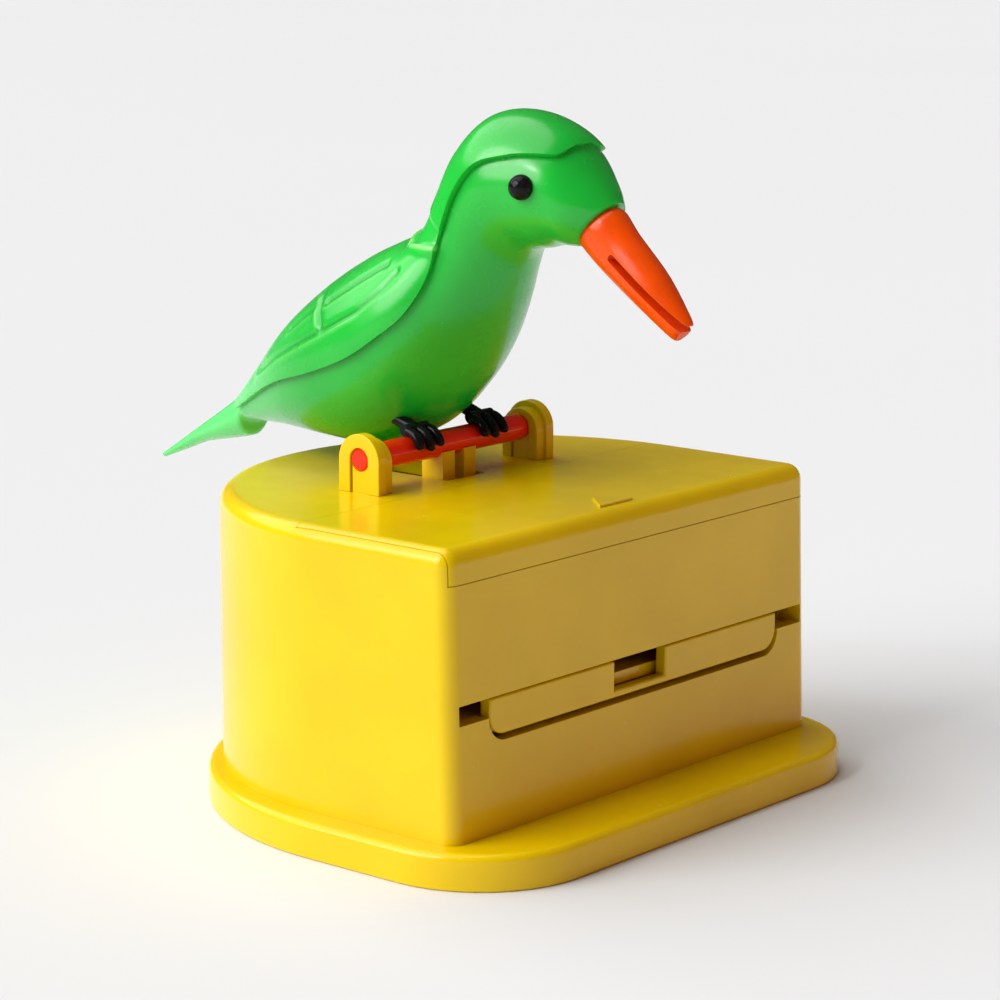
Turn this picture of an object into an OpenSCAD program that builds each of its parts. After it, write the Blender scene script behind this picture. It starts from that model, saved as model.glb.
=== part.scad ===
// Bird toothpick dispenser: a sprung bird on a perch rod over a toothpick box.
// Millimetres, +Z up. The origin is the middle of the base's underside.
// The front, with the slot and the gate, faces -Y; +X is its right-hand side.

/* [Part] */
// Which node to build, or "all"

/* [Base] */
// Width of the base plate
base_w = 79; // [70:0.5:90]
// Height of the base plate
base_h = 4.5; // [3:0.5:8]
// Radius of the base plate's front corners
base_corner_r = 15; // [5:1:25]

/* [Case] */
// Width of the case
case_w = 71.7; // [60:0.1:80]
// Height of the case's top above the table
case_top = 39.5; // [32:0.5:50]
// Radius of the case's upright front corners
case_corner_r = 2; // [1:0.5:8]
// Radius of the rounding along the top edge
top_round = 2.2; // [1:0.1:3]
// Wall thickness of the mouldings
wall = 1.8; // [1.4:0.1:2.4]

/* [Slot] */
// Half length of the slot in the front wall
slot_half = 34.2; // [33:0.1:34.4]
// Height of the slot's lower edge
slot_z = 18.6; // [17:0.1:19]
// Height of the slot's upper edge
slot_top = 21.0; // [20.5:0.1:23]
// Half width of the gate's window
gate_half = 29; // [24:0.5:30]

/* [Perch] */
// Distance of the rod's axis behind the middle
rod_y = 6.7; // [5:0.1:8]
// Height of the rod's axis
rod_z = 43.7; // [42:0.1:45]
// Radius of the rod between the brackets
rod_r = 1.7; // [1.5:0.1:2]
// Radius of the journals at the rod's ends
journal_r = 1.45; // [1.2:0.05:1.6]
// Radial clearance round the journals
run_gap = 0.05; // [0.01:0.01:0.1]
// Distance of the brackets' outer faces from the middle
bracket_x = 17.1; // [15:0.1:20]
// Length of the crank below the rod
crank_len = 13; // [11:0.5:14]

/* [Spring] */
// Turns of the return spring
spring_turns = 8; // [5:1:10]
// Mean radius of the return spring
spring_r = 3.2; // [2.6:0.1:3.6]

/* [Hidden] */
hb = base_w / 2;
hc = case_w / 2;
case_yc = -2.5;
gate_y = -23.7;
gate_z = 16.9;
GREEN = [0.10, 0.72, 0.22];
YELLOW = [0.90, 0.72, 0.04];
RED = [0.62, 0.10, 0.03];
ORANGE = [0.92, 0.20, 0.02];
BLACK = [0.05, 0.05, 0.05];
STEEL = [0.65, 0.66, 0.68];

// front face of the case at height z: it leans back slightly
function front_y(z) = -25.0 + (z - 4.5) / 35;

// D-shaped outline, inset by i
function outline(hw, yf, yc, rf, i = 0) = let (r = max(rf - i, 0.4), w = hw - i) concat(
  [for (k = [0:40]) let (a = 180 * k / 40) [w * cos(a), yc + w * sin(a)]],
  [for (k = [0:6]) let (a = 180 + 90 * k / 6) [-w + r + r * cos(a), yf + i + r + r * sin(a)]],
  [for (k = [0:6]) let (a = 270 + 90 * k / 6) [w - r + r * cos(a), yf + i + r + r * sin(a)]]);
function lift(o, z) = [for (p = o) [p[0], p[1], z]];
function case_ring(z, i) = lift(outline(hc, front_y(z), case_yc, case_corner_r, i), z);
function base_ring(z, i) = lift(outline(hb, -34.5, -5, base_corner_r, i), z);

// solid through a stack of equal rings, lowest first
module skin(rings) {
  n = len(rings[0]); m = len(rings);
  polyhedron(points = [for (r = rings) each r], faces = concat(
    [[for (j = [0:n - 1]) j]], [[for (j = [n - 1:-1:0]) (m - 1) * n + j]],
    [for (i = [0:m - 2]) for (j = [0:n - 1]) let (k = (j + 1) % n)
      [i * n + j, (i + 1) * n + j, (i + 1) * n + k, i * n + k]]));
}
module box(a, b) { translate(a) cube([b[0] - a[0], b[1] - a[1], b[2] - a[2]]); }
module cyl_x(x0, x1, y, z, r, fn = 48) {
  translate([x0, y, z]) rotate([0, 90, 0]) cylinder(r = r, h = x1 - x0, $fn = fn);
}
module cyl_y(y0, y1, x, z, r, fn = 48) {
  translate([x, y1, z]) rotate([90, 0, 0]) cylinder(r = r, h = y1 - y0, $fn = fn);
}
module cyl_z(z0, z1, x, y, r, fn = 48) { translate([x, y, z0]) cylinder(r = r, h = z1 - z0, $fn = fn); }
// front opening outline: straight top at z1, rounded lower corners, between y0 and y1
module apron(hw, z0, z1, r, y0, y1) translate([0, y1, 0]) rotate([90, 0, 0]) linear_extrude(y1 - y0)
  polygon(concat([[hw, z1], [-hw, z1]],
    [for (k = [0:6]) let (a = 180 + 15 * k) [-hw + r + r * cos(a), z0 + r + r * sin(a)]],
    [for (k = [0:6]) let (a = 270 + 15 * k) [hw - r + r * cos(a), z0 + r + r * sin(a)]]));
module both() { children(); mirror([1, 0, 0]) children(); }

SCREWS = [[29, -17], [24, 14]];

module base_plate() color(YELLOW) difference() {
  skin([base_ring(0, 0.3), base_ring(0.3, 0), base_ring(3.7, 0), base_ring(4.2, 0.25), base_ring(base_h, 0.8)]);
  skin([case_ring(2.0, wall + 0.2), case_ring(5, wall + 0.2)]);
  both() for (p = SCREWS) { cyl_z(-1, 3, p[0], p[1], 1.3); cyl_z(-1, 1.1, p[0], p[1], 2.5); }
}

module case_solid() {
  skin(concat([case_ring(base_h, 0), case_ring(case_top - top_round, 0)],
    [for (k = [1:4]) let (a = 90 * k / 4)
      case_ring(case_top - top_round * (1 - sin(a)), top_round * (1 - cos(a)))]));
}

module case_shell() color(YELLOW) {
  difference() {
    union() {
      difference() {
        case_solid();
        skin([case_ring(base_h - 1, wall), case_ring(case_top - wall, wall)]);
      }
      box([-33.9, -23.2, 33.8], [33.9, -21.4, 35.0]); // rail behind the front wall
      both() { // screw bosses on the side walls
        for (p = SCREWS) cyl_z(2, 13, p[0], p[1], 3);
        box([29, -18.5, 5], [34.8, -15.5, 13]);
        box([24, 12.8, 5], [30.8, 15.2, 13]);
      }
      box([-5, 31.2, 19], [5, 32.6, 29]); // pad for the spring guide
    }
    both() for (p = SCREWS) cyl_z(1, 10, p[0], p[1], 1.1);
    box([-35.2, -60, 37.3], [60, 0.4, 60]); // lid opening, open at the right-hand end
    box([-35.2, -60, 35.2], [60, -20.5, 60]);
    box([-3.7, 3.6, 36], [3.7, 21.2, 45]); // slot for the crank
    both() box([gate_half - 0.5, -30, slot_z], [slot_half, -21, slot_top]); // ends of the slot
    apron(gate_half, 15.5, slot_top, 3, -30, -22); // window for the gate
    both() cyl_x(27, 30.6, gate_y, gate_z, 0.45, 24); // bores for the gate's pins
  }
}

module slide_lid() color(YELLOW) {
  difference() {
    intersection() { case_solid(); box([-35, -40, 35.5], [40, 0, 45]); }
    box([-40, -20.8, 30], [40, 5, case_top - 1.9]);
    skin([case_ring(30, wall), case_ring(case_top - 1.9, wall)]);
  }
  // hooks at the left-hand end: one under the front rail, one under the fixed top
  box([-33, -20.9, 32.4], [-28, -19.7, 38]);
  box([-33, -22.2, 32.4], [-28, -19.7, 33.5]);
  box([-33, -2.4, 36.2], [-28, -1, 38]);
  box([-33, -2.4, 36.2], [-28, 1.1, 37.4]);
  translate([0, 0, case_top - 0.2]) linear_extrude(0.5) // arrow mark
    polygon([[-4.1, -21.6], [4.1, -21.6], [0, -16.2]]);
}

module bracket() {
  difference() {
    union() {
      box([bracket_x - 1.5, rod_y - 3.35, case_top], [bracket_x, rod_y + 3.35, 43.6]);
      cyl_x(bracket_x - 1.5, bracket_x, rod_y, 43.6, 3.35);
      box([bracket_x - 3, rod_y - 2.95, case_top], [bracket_x - 1.5, rod_y + 2.95, 43.2]);
      cyl_x(bracket_x - 3, bracket_x - 1.5, rod_y, 43.2, 2.95);
    }
    cyl_x(10, 20, rod_y, rod_z, journal_r + run_gap);
    box([10, rod_y - journal_r - run_gap, 39], [20, rod_y + journal_r + run_gap, rod_z]);
  }
}
module perch_bracket_right() color(YELLOW) bracket();
module perch_bracket_left() color(YELLOW) mirror([1, 0, 0]) bracket();

module keeper() difference() {
  box([bracket_x - 2.7, rod_y - 1.3, case_top], [bracket_x - 0.3, rod_y + 1.3, 43.1]);
  cyl_x(10, 20, rod_y, rod_z, journal_r + run_gap);
}
module rod_keeper_right() color(YELLOW) keeper();
module rod_keeper_left() color(YELLOW) mirror([1, 0, 0]) keeper();

module perch_rod() color(ORANGE) {
  cyl_x(-13.9, 13.9, rod_y, rod_z, rod_r);
  cyl_x(-bracket_x + 0.1, bracket_x - 0.1, rod_y, rod_z, journal_r);
}

module crank_fork() color(YELLOW) difference() {
  union() {
    both() {
      cyl_x(0.9, 3.2, rod_y, rod_z - crank_len, 1.8);
      box([0.9, rod_y - 1.8, rod_z - crank_len], [3.2, rod_y + 1.8, rod_z - 0.8]);
    }
    cyl_x(-2, 2, rod_y, rod_z - crank_len, 1.1);
  }
  cyl_x(-5, 5, rod_y, rod_z, rod_r);
}

module pusher() color(RED) {
  box([-31.4, -4.4, 18.9], [31.4, -2.9, 32]); // blade
  box([-7, -3.5, 26], [7, 9.5, 27.8]); // deck
  box([-5, 8, 19.4], [5, 9.5, 27.8]); // spring plate
  box([-3, 9, 27.7], [3, rod_y + 3.85, 28.6]); // foot of the rear horn
  box([-0.6, rod_y - 3.85, 27], [0.6, rod_y - 2.35, 37.6]);
  box([-0.6, rod_y + 2.35, 27.7], [0.6, rod_y + 3.85, 37.6]);
  both() box([14, -3.5, 18.8], [17, 13, 21]); // runners
}

module hopper_tray() color(YELLOW) {
  difference() {
    skin([case_ring(17, 2.3), case_ring(18.5, 2.3)]);
    box([-40, 20, 10], [40, 50, 30]);
  }
  both() {
    cyl_z(2, 17.5, 18, -12, 2.2);
    cyl_z(2, 17.5, 12, 14, 2.2);
    box([12.5, 9.6, 18], [13.7, 19, 20.2]);
    box([17.3, 9.6, 18], [18.5, 19, 20.2]);
  }
}

module gate_flap() color(YELLOW) difference() {
  union() {
    apron(gate_half - 0.3, 16.2, slot_top - 0.2, 2.7, gate_y - 0.8, gate_y + 0.8);
  }
  both() cyl_x(24, 30, gate_y, gate_z, 0.4, 24);
  box([-5.1, -30, 17.1], [5.1, -20, 26]);
}
module gate_pins() color(STEEL) both() cyl_x(24, 30.4, gate_y, gate_z, 0.4, 24);

module return_spring() color(STEEL) {
  y0 = 10; y1 = 29.6; n = spring_turns * 16; m = 8; wr = 0.4;
  rings = [for (i = [0:n]) let (a = 360 * i / 16, y = y0 + (y1 - y0) * i / n)
    [for (j = [0:m - 1]) let (b = 360 * j / m)
      [(spring_r + wr * cos(b)) * cos(a), y + wr * sin(b), 24 + (spring_r + wr * cos(b)) * sin(a)]]];
  skin(rings);
}
module spring_guide() color(YELLOW) {
  cyl_y(22, 31.2, 0, 24, 2.2);
  cyl_y(30.1, 31.2, 0, 24, 4.5);
}
module case_screws() color(STEEL) both() for (p = SCREWS) {
  cyl_z(0.1, 1.1, p[0], p[1], 2.3);
  cyl_z(1, 9.5, p[0], p[1], 1.05);
}

/* [Hidden] */
// Bird sections from rump to face: top y, top z, bottom y, bottom z, half width, step angle
BIRD = [
  [39.5, 47.5, 38, 43, 6.5, -4], [34.5, 53, 31.5, 43, 9, -1], [29, 59, 24.5, 42.5, 11.5, -1],
  [22.5, 64, 17, 42.5, 13, -3], [16.5, 67.5, 9.5, 45, 13.5, -5], [12, 69.5, 4, 50, 13, -7],
  [8, 71, 0.5, 55, 12, -9], [6, 73.5, -2.5, 60.5, 10.5, -6], [4.5, 77.5, -4.5, 65, 9.5, 4],
  [2, 82.5, -6, 68, 9, 11], [-2.5, 86.5, -8, 69.5, 9, 18], [-8.5, 87, -10.5, 70, 8.5, 26],
  [-14.5, 84, -12.5, 70.5, 7.5, 47], [-18, 79.5, -14, 70.5, 5.8, 86], [-20.3, 76.2, -15.4, 70.5, 3.5, 87]];
shell_t = 1.3;
step = 0.6;
function sect(s, a, dw, du, dl) = let (
    cy = (s[0] + s[2]) / 2, cz = (s[1] + s[3]) / 2, hy = (s[0] - s[2]) / 2, hz = (s[1] - s[3]) / 2,
    h = norm([hy, hz]), d = sin(a) > 0 ? du : dl, k = max(h - d, 0.4) / h, w = max(s[4] - dw, 0.4))
  [w * cos(a), cy + hy * k * sin(a), cz + hz * k * sin(a)];

// closed shell over an arc of every section, from the outer surface to the inner one
module arc_shell(S, a0, a1, o, i, n = 16) {
  m = len(S);
  pts = concat(
    [for (q = [0:m - 1]) for (k = [0:n]) sect(S[q], a0[q] + (a1[q] - a0[q]) * k / n, o[0], o[1], o[2])],
    [for (q = [0:m - 1]) for (k = [0:n]) sect(S[q], a0[q] + (a1[q] - a0[q]) * k / n, i[0], i[1], i[2])]);
  w = n + 1; f = m * w;
  polyhedron(points = pts, faces = concat(
    [for (q = [0:m - 2]) for (k = [0:n - 1]) each [
      [q * w + k, q * w + k + 1, (q + 1) * w + k + 1], [q * w + k, (q + 1) * w + k + 1, (q + 1) * w + k],
      [f + q * w + k, f + (q + 1) * w + k + 1, f + q * w + k + 1],
      [f + q * w + k, f + (q + 1) * w + k, f + (q + 1) * w + k + 1]]],
    [for (q = [0:m - 2]) each [
      [q * w, (q + 1) * w, f + (q + 1) * w], [q * w, f + (q + 1) * w, f + q * w],
      [q * w + n, f + (q + 1) * w + n, (q + 1) * w + n], [q * w + n, f + q * w + n, f + (q + 1) * w + n]]],
    [for (k = [0:n - 1]) each [
      [k, f + k + 1, k + 1], [k, f + k, f + k + 1],
      [(m - 1) * w + k, (m - 1) * w + k + 1, f + (m - 1) * w + k + 1],
      [(m - 1) * w + k, f + (m - 1) * w + k + 1, f + (m - 1) * w + k]]]));
}

module bird_back_shell() color(GREEN) {
  S = [for (q = [0:12]) BIRD[q]];
  arc_shell(S, [for (s = S) 180 - s[5]], [for (s = S) s[5]], [0, 0, 0], [shell_t, shell_t, shell_t]);
}
module bird_body_shell() color(GREEN)
  arc_shell(BIRD, [for (s = BIRD) s[5]], [for (s = BIRD) -180 - s[5]],
    [step, step, 0], [step + shell_t, step + shell_t, shell_t], 20);

// solid through elliptical sections: top y, top z, bottom y, bottom z, half width
module loft(S, n = 20) skin([for (s = S) [for (k = [0:n - 1]) sect(s, -360 * k / n, 0, 0, 0)]]);

module bird_tail() color(GREEN) loft([[58.8, 35.9, 58.4, 35.4, 0.5], [55.2, 38.1, 54.4, 36.9, 1.2],
  [51.2, 40.6, 50.2, 38.4, 1.9], [44.0, 45.2, 42.3, 40.3, 3.0], [42.6, 46.0, 41.3, 40.8, 3.1],
  [40.5, 46.6, 40.9, 42.4, 3.2], [38.5, 46.6, 38.6, 43.8, 3.2]]);

BEAK = [[-18.2, 75.6, -14.4, 71.6, 2.2], [-20.6, 76, -15.6, 70.6, 3.2], [-23, 73.2, -18.3, 67.9, 2.9],
  [-27.6, 68.1, -23.6, 64.2, 2.5], [-31.0, 63.6, -28.6, 60.7, 1.6], [-31.7, 62.4, -29.7, 60.3, 1.0]];
module beak() color(ORANGE) difference() {
  loft([for (k = [len(BEAK) - 1:-1:0]) BEAK[k]]);
  translate([0, -31.1, 61.9]) rotate([39, 0, 0]) translate([-6, -4, -0.5]) cube([12, 16.9, 1]);
}
module eye_right() color(BLACK) translate([7.3, -11.2, 78]) sphere(r = 1.6, $fn = 32);
module eye_left() color(BLACK) translate([-7.3, -11.2, 78]) sphere(r = 1.6, $fn = 32);

// arc of a toe round the rod, from angle a0 to a1 above the front
module toe(x, a0, a1, r) translate([x, rod_y, rod_z]) rotate([0, 90, 0]) rotate([0, 0, a0])
  rotate_extrude(angle = a1 - a0, $fn = 48) translate([r, 0]) circle(r = 0.6, $fn = 16);
module foot() color(BLACK) {
  for (x = [4.4, 6.3, 8.2]) toe(x, 175, 262, 2.5);
  toe(6.3, 110, 175, 2.5);
  cyl_x(4.4, 8.2, rod_y + 0.2, rod_z + 2.5, 0.75, 24);
  translate([6.3, rod_y + 0.2, rod_z + 2.4]) rotate([-70, 0, 0]) cylinder(r = 0.9, h = 4.2, $fn = 24);
}
module foot_right() foot();
module foot_left() mirror([1, 0, 0]) foot();

base_plate();
case_shell();
slide_lid();
perch_bracket_left();
perch_bracket_right();
rod_keeper_left();
rod_keeper_right();
perch_rod();
crank_fork();
pusher();
hopper_tray();
gate_flap();
gate_pins();
return_spring();
spring_guide();
case_screws();
bird_body_shell();
bird_back_shell();
bird_tail();
beak();
eye_left();
eye_right();
foot_left();
foot_right();
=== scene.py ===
"""Bird toothpick dispenser: a sprung bird on a perch rod over a D-shaped toothpick box."""

from math import acos, ceil, cos, pi, radians, sin

import bmesh
import bpy
from mathutils import Matrix, Vector


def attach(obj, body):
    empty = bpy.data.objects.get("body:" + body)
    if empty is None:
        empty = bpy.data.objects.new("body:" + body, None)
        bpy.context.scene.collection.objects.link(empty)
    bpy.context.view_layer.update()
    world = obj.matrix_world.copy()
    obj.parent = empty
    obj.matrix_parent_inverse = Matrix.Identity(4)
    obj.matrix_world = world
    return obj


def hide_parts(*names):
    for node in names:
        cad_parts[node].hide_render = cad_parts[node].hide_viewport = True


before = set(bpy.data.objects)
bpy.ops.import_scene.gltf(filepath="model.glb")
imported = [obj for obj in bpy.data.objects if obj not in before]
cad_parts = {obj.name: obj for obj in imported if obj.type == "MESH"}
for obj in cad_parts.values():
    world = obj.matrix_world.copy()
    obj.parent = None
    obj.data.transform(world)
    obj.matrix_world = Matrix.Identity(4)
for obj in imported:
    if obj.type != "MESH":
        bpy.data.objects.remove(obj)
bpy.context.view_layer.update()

bl_info = {
    "name": "Bird toothpick dispenser",
    "version": (1, 0, 0),
    "blender": (4, 5, 0),
    "location": "3D View > Sidebar > Dispenser",
    "description": "Builds a bird toothpick dispenser piece by piece on its packed frame",
    "category": "Object",
}

MM = 0.001
X_AXIS, Y_AXIS, Z_AXIS = Vector((1, 0, 0)), Vector((0, 1, 0)), Vector((0, 0, 1))
AWAY = 60  # beyond every piece, in mm, for cutters that pass right through

# The case, in mm: its front, the centre of its round back, how far the front leans back,
# the heights of the slot across the front, and where the screws stand.
CASE_FRONT = -25
CASE_CENTRE = -2.5
FRONT_LEAN = 1.0
SLOT_LOW, SLOT_TOP = 18.6, 21
SLOT_HALF = 34.2
SCREWS = ((29, -17), (24, 14))
BOSS_TOP = 13

# The lid, in mm: its left edge, its rear edge and the underside of its top.
LID_LEFT = -35
LID_REAR = 0.34
LID_UNDER = 37.6
RUN_GAP = 0.15

# The perch rod's centre in metres, and its radii and lengths in mm.
ROD = Vector((0, 6.7, 43.7)) * MM
ROD_RADIUS, JOURNAL_RADIUS = 1.7, 1.45
CRANK_ARM = 13

# Bird sections from rump to face, in mm: top (y, z), bottom (y, z), half width, and the
# angle in degrees above the waistline at which the cape's lower edge runs.
SECTIONS = (
    ((39.5, 47.5), (38, 43), 6.5, -4),
    ((34.5, 53), (31.5, 43), 9, -1),
    ((29, 59), (24.5, 42.5), 11.5, -1),
    ((22.5, 64), (17, 42.5), 13, -3),
    ((16.5, 67.5), (9.5, 45), 13.5, -5),
    ((12, 69.5), (4, 50), 13, -7),
    ((8.2, 71.1), (0.5, 55), 12, -9),
    ((6.1, 73.6), (-2.5, 60.5), 10.5, -6),
    ((4.5, 77.5), (-4.5, 65), 9.5, 4),
    ((2, 82.5), (-6, 68), 9, 11),
    ((-2.5, 86.2), (-8, 69.5), 9, 18),
    ((-8.5, 86.5), (-10.5, 70), 8.5, 26),
    ((-14.5, 84), (-12.5, 70.5), 7.5, 45),
    ((-18, 79.5), (-14, 70.5), 5.8, 86),
    ((-20.3, 76.2), (-15.4, 70.5), 3.5, 87),
)

# Section numbers where the hood's tip begins and ends, and the step in mm from the cape
# down to the body.
CAPE_TIP = 12.0
CAPE_END = 12.2
CAPE_STEP = 0.85

# Beak rings from the base to the tip, in mm: top (y, z), bottom (y, z), half width.
BEAK_RINGS = (
    ((-18.2, 75.6), (-14.4, 71.6), 2.2),
    ((-20.5, 75.4), (-15.7, 70.4), 3.1),
    ((-23, 72.7), (-18.5, 67.9), 2.8),
    ((-27.6, 68.1), (-23.6, 64.2), 2.5),
    ((-31.0, 63.6), (-28.6, 60.7), 1.6),
    ((-31.7, 62.4), (-29.7, 60.3), 1.0),
)

# Lines pressed into each wing, as (y, z) points in mm.
WING_GROOVES = (
    ((18, 61.7), (8.7, 67.2)),
    ((31, 51.5), (26, 54.3), (17.2, 58.3), (11, 61.4), (7.6, 64.3), (5.9, 66.7)),
    ((20.6, 62.8), (19, 60.8), (17.4, 59)),
    ((25, 57.6), (20.8, 60.6)),
)


# The line across the nape where the neck strip meets the back, as (y, z) points in mm.
COLLAR = ((1.3, 67.9), (5.3, 70), (11, 70))


# ---------------------------------------------------------------- settings


def length(label, about, default):
    """A length setting in metres, given in mm."""
    return bpy.props.FloatProperty(
        name=label, description=about, default=default * MM, unit="LENGTH", subtype="DISTANCE"
    )


def colour(label, about, default):
    """A linear colour setting."""
    return bpy.props.FloatVectorProperty(
        name=label, description=about, default=default, size=3, min=0, max=1, subtype="COLOR"
    )


class BoxSettings(bpy.types.PropertyGroup):
    """Sizes of the case, its lid and the base plate."""

    base_half: length("Base half width", "Half the width of the base plate", 39.5)
    base_height: length("Base height", "Height of the base plate", 4.5)
    case_half: length("Case half width", "Half the width of the case", 35.85)
    case_top: length("Case top", "Height of the case's top", 39.5)
    wall: length("Wall", "Wall thickness of the mouldings", 1.8)
    top_round: length("Top rounding", "Radius along the case's top edge", 2.0)


class BirdSettings(bpy.types.PropertyGroup):
    """Sizes of the bird's small pieces."""

    cape_wall: length("Cape wall", "Thickness of the hood and wings", 1.2)
    groove_depth: length("Groove depth", "Depth of the wings' pressed lines", 0.28)
    groove_width: length("Groove width", "Width of the wings' pressed lines", 0.75)
    eye_radius: length("Eye radius", "Radius of the bead eyes", 1.6)
    toe_radius: length("Toe radius", "Radius of the toes", 0.6)


class LookSettings(bpy.types.PropertyGroup):
    """Colours of the mouldings."""

    yellow: colour("Yellow", "Case, lid and base", (0.86, 0.58, 0.0))
    green: colour("Green", "Bird's body, cape and tail", (0.012, 0.56, 0.045))
    beak: colour("Beak", "Beak", (0.93, 0.085, 0.0))
    rod: colour("Rod", "Perch rod", (1.0, 0.025, 0.0))
    red: colour("Red", "Pieces inside the case", (0.40, 0.03, 0.005))
    black: colour("Black", "Eyes and feet", (0.006, 0.006, 0.007))
    steel: colour("Steel", "Pins, screws and spring", (0.6, 0.6, 0.62))
    floor: colour("Floor", "Studio floor", (0.76, 0.77, 0.78))


def settings():
    """The three groups of settings."""
    scene = bpy.context.scene
    return scene.dispenser_box, scene.dispenser_bird, scene.dispenser_look


# --------------------------------------------------------------- materials


class Wire:
    """A shader socket on which Python arithmetic adds Math nodes."""

    def __init__(self, finish, socket):
        self.finish, self.socket = finish, socket

    def _math(self, operation, *values):
        return self.finish.add("ShaderNodeMath", {"operation": operation}, dict(enumerate(values)))

    def __add__(self, other):
        return self._math("ADD", self, other)

    def __sub__(self, other):
        return self._math("SUBTRACT", self, other)

    def __rsub__(self, other):
        return self._math("SUBTRACT", other, self)

    def __mul__(self, other):
        return self._math("MULTIPLY", self, other)

    __radd__, __rmul__ = __add__, __mul__


class Finish:
    """A procedural plastic or metal finish under one Principled BSDF."""

    def __init__(self, name):
        self.material = bpy.data.materials.new(name)
        self.material.use_nodes = True
        self.tree = self.material.node_tree
        self.shader = self.tree.nodes["Principled BSDF"]
        self.place = self.add("ShaderNodeTexCoord", out="Object")

    def add(self, kind, options=None, inputs=None, out=0):
        """One node of this kind, with its options set and its sockets fed."""
        node = self.tree.nodes.new(kind)
        for key, value in (options or {}).items():
            setattr(node, key, value)
        for key, value in (inputs or {}).items():
            self.feed(node.inputs[key], value)
        return Wire(self, node.outputs[out])

    def feed(self, socket, value):
        if isinstance(value, Wire):
            self.tree.links.new(value.socket, socket)
        else:
            socket.default_value = value

    def fix(self, **values):
        """Numbers and colours that are the same all over."""
        for key, value in values.items():
            self.feed(self.shader.inputs[key.replace("_", " ")], value)
        return self

    def noise(self, scale, detail=2.0, out="Fac"):
        inputs = {"Vector": self.place, "Scale": scale, "Detail": detail}
        return self.add("ShaderNodeTexNoise", inputs=inputs, out=out)

    def mix(self, factor, first, second):
        """One colour turning into another."""
        first, second = (c if isinstance(c, Wire) else (*c, 1) for c in (first, second))
        return self.add(
            "ShaderNodeMix", {"data_type": "RGBA"}, {0: factor, 6: first, 7: second}, out=2
        )

    def spread(self, value, low, high, to_low=0.0, to_high=1.0):
        """A value carried from one range to another, eased at both ends."""
        return self.add(
            "ShaderNodeMapRange",
            {"interpolation_type": "SMOOTHSTEP"},
            {0: value, 1: low, 2: high, 3: to_low, 4: to_high},
        )

    def axis(self, name):
        return self.add("ShaderNodeSeparateXYZ", inputs={0: self.place}, out=name)

    def bump(self, height, distance, strength=1.0):
        self.feed(
            self.shader.inputs["Normal"],
            self.add(
                "ShaderNodeBump",
                inputs={"Height": height, "Distance": distance, "Strength": strength},
                out="Normal",
            ),
        )


    def tint(self):
        """What feeds the base colour so far."""
        return Wire(self, self.shader.inputs["Base Color"].links[0].from_socket)


def shaded(tint, factor):
    """A colour made darker or lighter."""
    return tuple(min(c * factor, 1.0) for c in tint)


def moulded(name, tint, deep, rough=0.2, ripple=0.00003, scale=55.0, coat=0.2, gloss=0.25):
    """Glossy moulded plastic with soft drifts of colour, flow ripple and fine handling marks."""
    finish = Finish(name)
    drift = finish.noise(scale)
    finish.fix(Base_Color=finish.mix(finish.spread(drift, 0.35, 0.7), tint, deep))
    scuffs = finish.noise(260.0, 4.0)
    finish.fix(Roughness=finish.spread(scuffs, 0.4, 0.8, rough, rough + 0.08))
    finish.fix(Coat_Weight=coat, Coat_Roughness=0.15, Specular_IOR_Level=gloss)
    finish.bump(finish.noise(110.0, 1.0), ripple)
    return finish


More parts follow.
